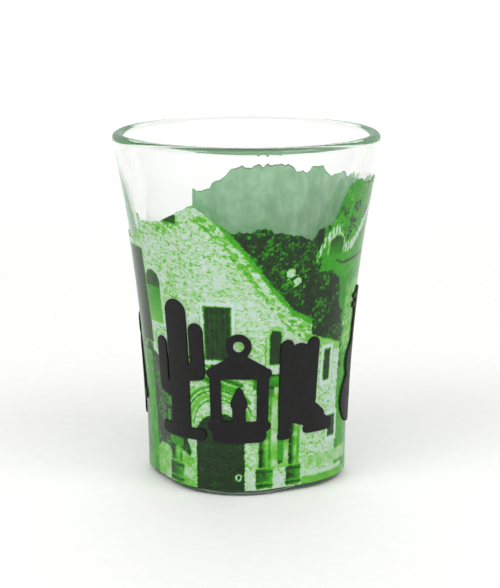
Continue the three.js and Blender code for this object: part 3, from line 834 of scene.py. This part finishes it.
# Colours by position on a ramp, as screen values.
BACKING_TONES = [
    (0.4, (0.40, 0.60, 0.43)),
    (0.5, (0.46, 0.64, 0.48)),
    (0.6, (0.54, 0.70, 0.56)),
]
INK_TONES = [
    (0.0, (0.05, 0.08, 0.05)),
    (0.22, (0.08, 0.25, 0.03)),
    (0.5, (0.17, 0.58, 0.01)),
    (0.7, (0.43, 0.72, 0.25)),
    (0.88, (0.68, 0.79, 0.67)),
    (1.0, (0.75, 0.81, 0.83)),
]
RUBBER_TONES = [
    (0.3, (0.06, 0.062, 0.06)),
    (0.55, (0.085, 0.088, 0.085)),
    (0.8, (0.13, 0.133, 0.13)),
]
FLOOR_TONES = [(0.2, (0.955, 0.955, 0.95)), (0.8, (0.97, 0.97, 0.965))]
SKY_TONES = [(0.0, (1, 1, 1)), (0.25, (0.95, 0.95, 0.95)), (0.7, (0.85, 0.85, 0.85))]


def rgb(red, green, blue):
    """Linear colour from screen values."""
    return (*((value / 12.92 if value <= 0.04045 else ((value + 0.055) / 1.055) ** 2.4)
              for value in (red, green, blue)), 1)


class Nodes:
    """Adds shader nodes to one material or world and joins them up."""

    def __init__(self, owner):
        owner.use_nodes = True
        self.tree = owner.node_tree
        self.tree.nodes.clear()

    def add(self, kind, output=0, **inputs):
        """One node. Inputs go by socket name, or by _ and a number; the answer is one output socket."""
        node = self.tree.nodes.new(kind)
        for name, value in inputs.items():
            key = int(name[1:]) if name[0] == "_" else name.replace("_", " ")
            socket = node.inputs[key]
            if isinstance(value, bpy.types.NodeSocket):
                self.tree.links.new(value, socket)
            else:
                socket.default_value = value
        return node.outputs[output] if node.outputs else None

    def maths(self, operation, first, second=0.0, third=0.0):
        result = self.add("ShaderNodeMath", _0=first, _1=second, _2=third)
        result.node.operation = operation
        return result

    def attribute(self, name):
        result = self.add("ShaderNodeAttribute", "Fac")
        result.node.attribute_name = name
        return result

    def noise(self, scale, detail=2.0, roughness=0.5, stretch=(1, 1, 1)):
        """Noise from 0 to 1 over the object, in cells of about 1/scale millimetres."""
        place = self.add("ShaderNodeTexCoord", "Object")
        per_mm = tuple(value / MM for value in stretch)
        moved = self.add("ShaderNodeMapping", Vector=place, Scale=per_mm)
        return self.add(
            "ShaderNodeTexNoise", Vector=moved, Scale=scale, Detail=detail, Roughness=roughness
        )

    def ramp(self, value, stops):
        """Colour for a value, by (position, screen colour) stops."""
        colour_out = self.add("ShaderNodeValToRGB", Fac=value)
        colours = colour_out.node.color_ramp
        while len(colours.elements) < len(stops):
            colours.elements.new(0.5)
        for element, (position, colour) in zip(colours.elements, stops):
            element.position = position
            element.color = rgb(*colour)
        return colour_out

    def spread(self, value, low, high):
        """Maps 0-1 to low-high."""
        return self.add("ShaderNodeMapRange", Value=value, To_Min=low, To_Max=high)

    def bump(self, height, strength, distance_mm):
        return self.add("ShaderNodeBump", Height=height, Strength=strength, Distance=distance_mm * MM)

    def finish(self, shader, output="ShaderNodeOutputMaterial", volume=None):
        inputs = {"Surface": shader}
        if volume:
            inputs["Volume"] = volume
        self.add(output, **inputs)


def clear_glass():
    """Pressed glass, faintly green through its thickness, that lets lamp light through."""
    material = bpy.data.materials.new("clear_glass")
    nodes = Nodes(material)
    ripple = nodes.bump(nodes.noise(0.14, 1.0), 0.25, 0.03)
    haze = nodes.spread(nodes.noise(0.6, 3.0), 0.0, 0.03)
    body = nodes.add(
        "ShaderNodeBsdfPrincipled", Base_Color=rgb(1, 1, 1), Roughness=haze, IOR=1.5,
        Transmission_Weight=1.0, Normal=ripple,
    )
    passing = nodes.add("ShaderNodeBsdfTransparent", Color=rgb(0.97, 0.98, 0.97))
    to_lamp = nodes.add("ShaderNodeLightPath", "Is Shadow Ray")
    surface = nodes.add("ShaderNodeMixShader", _0=to_lamp, _1=body, _2=passing)
    tint = nodes.add("ShaderNodeVolumeAbsorption", Color=rgb(0.55, 0.8, 0.6), Density=7.0)
    nodes.finish(surface, volume=tint)
    return material


def backing_ink():
    """Sage green under-print with faint upright streaks, lighter and darker at random."""
    material = bpy.data.materials.new("backing_ink")
    nodes = Nodes(material)
    # Upright noise streaks, lighter and darker, mixed into the ink's tone.
    streaks = nodes.noise(0.5, 3.0, 0.6, (1, 1, 0.2))
    clouds = nodes.noise(0.3, 4.0, 0.65)
    shade = nodes.maths("MULTIPLY_ADD", streaks, 0.35, nodes.maths("MULTIPLY", clouds, 0.65))
    colour = nodes.ramp(shade, BACKING_TONES)
    surface = nodes.add(
        "ShaderNodeBsdfPrincipled", Base_Color=colour, Roughness=nodes.spread(streaks, 0.35, 0.5),
        Specular_IOR_Level=0.2, Normal=nodes.bump(streaks, 0.3, 0.02),
    )
    nodes.finish(surface)
    return material


def picture_ink():
    """Glossy printed picture: the painted tone, broken up by fine print grain."""
    material = bpy.data.materials.new("picture_ink")
    nodes = Nodes(material)
    tone = nodes.attribute("tone")
    grain = nodes.noise(3.2, 3.0, 0.7)
    uneven = nodes.noise(0.5, 2.0)
    broken = nodes.maths("MULTIPLY_ADD", nodes.maths("SUBTRACT", grain, 0.5), 0.4, tone)
    broken = nodes.maths("MULTIPLY_ADD", nodes.maths("SUBTRACT", uneven, 0.5), 0.12, broken)
    colour = nodes.ramp(broken, INK_TONES)
    surface = nodes.add(
        "ShaderNodeBsdfPrincipled", Base_Color=colour, Roughness=nodes.spread(grain, 0.15, 0.3),
        Specular_IOR_Level=0.3, Normal=nodes.bump(grain, 0.2, 0.02),
    )
    nodes.finish(surface)
    return material


def black_rubber():
    """Charcoal rubber with a fine matte grain and faint scuffs."""
    material = bpy.data.materials.new("black_rubber")
    nodes = Nodes(material)
    grain = nodes.noise(7.0, 3.0, 0.6)
    scuffs = nodes.noise(0.9, 4.0, 0.65)
    colour = nodes.ramp(scuffs, RUBBER_TONES)
    surface = nodes.add(
        "ShaderNodeBsdfPrincipled", Base_Color=colour, Roughness=nodes.spread(scuffs, 0.4, 0.65),
        Specular_IOR_Level=0.22, Normal=nodes.bump(grain, 0.35, 0.03),
    )
    nodes.finish(surface)
    return material


def pale_floor():
    """Off-white paper with a faint tooth."""
    material = bpy.data.materials.new("pale_floor")
    nodes = Nodes(material)
    tooth = nodes.noise(0.4, 4.0)
    surface = nodes.add(
        "ShaderNodeBsdfPrincipled", Base_Color=nodes.ramp(tooth, FLOOR_TONES), Roughness=0.75,
        Normal=nodes.bump(tooth, 0.1, 0.05),
    )
    nodes.finish(surface)
    return material


# ---- Studio: camera, floor and light ----

VIEW_TURN = -28.0
CAMERA_PLACE = (0.644, -333.5, 104.1)
CAMERA_PITCH = 77.91
CAMERA_LENS = 115.2
CAMERA_REACH = (0.01, 20)
FLOOR_RADIUS = 4000.0
FLOOR_DROP = 0.03
FLOOR_SIDES = 96
SKY_STRENGTH = 0.58
LIGHT_BOUNCES = 32
GLASS_BOUNCES = 24

# Soft lamps: name, place, target, width, height and power in watts.
SOFTBOXES = [
    ("back", (0, 1300, 800), (0, 1500, 0), 1200, 1400, 17),
    ("front", (0, -450, 500), (0, 0, 30), 800, 250, 1.8),
    ("left", (-450, -350, 500), (0, 0, 30), 300, 300, 1.3),
    ("right", (450, -300, 500), (0, 0, 30), 300, 300, 1.2),
]


def seen_from_camera(x, y, z):
    """A place in metres, from millimetres right of, beyond and above the glass in the camera's view."""
    turn = math.radians(VIEW_TURN)
    return (
        (x * math.cos(turn) - y * math.sin(turn)) * MM,
        (x * math.sin(turn) + y * math.cos(turn)) * MM,
        z * MM,
    )


def make_camera():
    """A camera that looks slightly down on the front of the glass."""
    lens = bpy.data.cameras.new("camera")
    lens.lens = CAMERA_LENS
    lens.clip_start, lens.clip_end = CAMERA_REACH
    camera = bpy.data.objects.new("camera", lens)
    camera.location = seen_from_camera(*CAMERA_PLACE)
    camera.rotation_euler = (math.radians(CAMERA_PITCH), 0, math.radians(VIEW_TURN))
    bpy.context.scene.collection.objects.link(camera)
    bpy.context.scene.camera = camera


def make_floor(material):
    """A wide round floor, a hair below the glass."""
    angles = np.linspace(0, 2 * math.pi, FLOOR_SIDES, endpoint=False)
    points = polar_points(FLOOR_RADIUS, -FLOOR_DROP, angles) * MM
    mesh = bpy.data.meshes.new("floor")
    mesh.from_pydata(points, [], [list(range(len(angles)))])
    mesh.materials.append(material)
    floor = bpy.data.objects.new("floor", mesh)
    bpy.context.scene.collection.objects.link(floor)


def make_softbox(name, place, target, width, height, power):
    """A rectangular soft lamp at one place, aimed at another, in the camera's millimetres."""
    lamp = bpy.data.lights.new(name, "AREA")
    lamp.shape = "RECTANGLE"
    lamp.size, lamp.size_y = width * MM, height * MM
    lamp.energy = power
    box = bpy.data.objects.new(name, lamp)
    box.location = seen_from_camera(*place)
    aim = mathutils.Vector(seen_from_camera(*target)) - box.location
    box.rotation_euler = aim.to_track_quat("-Z", "Y").to_euler()
    bpy.context.scene.collection.objects.link(box)


def make_sky():
    """Even white surroundings, a little darker overhead."""
    world = bpy.data.worlds.new("studio")
    bpy.context.scene.world = world
    nodes = Nodes(world)
    direction = nodes.add("ShaderNodeTexCoord", "Generated")
    upward = nodes.add("ShaderNodeSeparateXYZ", "Z", Vector=direction)
    colour = nodes.ramp(upward, SKY_TONES)
    light = nodes.add("ShaderNodeBackground", Color=colour, Strength=SKY_STRENGTH)
    nodes.finish(light, "ShaderNodeOutputWorld")


canvas = paint_picture()
make_cup(clear_glass())
make_backing(backing_ink())
make_picture(canvas, picture_ink())
rubber = black_rubber()
for group, names in ((FRONT_GROUP, FRONT_MOTIFS), (BACK_GROUP, BACK_MOTIFS)):
    start, step = group
    for index, name in enumerate(names):
        make_relief(name, start + step * index, rubber)

make_floor(pale_floor())
make_camera()
make_sky()
for softbox in SOFTBOXES:
    make_softbox(*softbox)
scene = bpy.context.scene
scene.view_settings.view_transform = "Standard"
scene.cycles.max_bounces = LIGHT_BOUNCES
scene.cycles.glossy_bounces = GLASS_BOUNCES
scene.cycles.transmission_bounces = GLASS_BOUNCES
